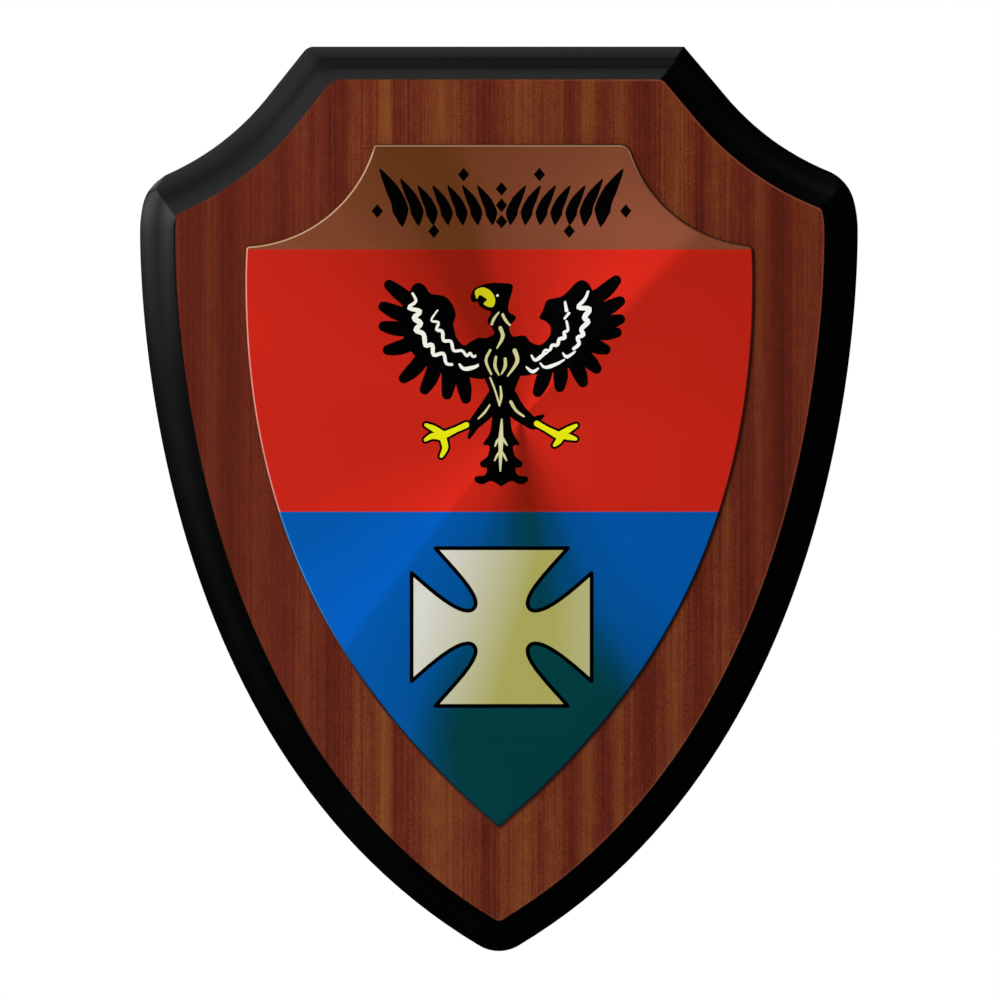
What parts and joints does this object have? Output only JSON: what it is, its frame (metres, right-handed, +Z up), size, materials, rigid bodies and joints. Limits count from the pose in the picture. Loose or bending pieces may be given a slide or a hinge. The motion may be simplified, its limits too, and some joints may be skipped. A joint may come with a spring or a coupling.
{
  "type": "heraldic shield plaque",
  "caption": "Wooden wall shield with a black moulded edge, carrying a thin metal shield painted in red and blue fields.",
  "frame": {"origin": "middle of the flat back, which lies against the wall", "axes": "+X to the right seen from the front, +Z up, +Y into the wall, so the front faces -Y"},
  "size_m": [0.15, 0.0153, 0.189],
  "materials": {
    "mahogany": "satin varnish on the face, black lacquer on the moulded edge",
    "copper": "satin copper-coloured sheet with flat translucent paint"
  },
  "bodies": {
    "root": {"board": "mahogany", "plate": "copper"}
  },
  "joints": []
}
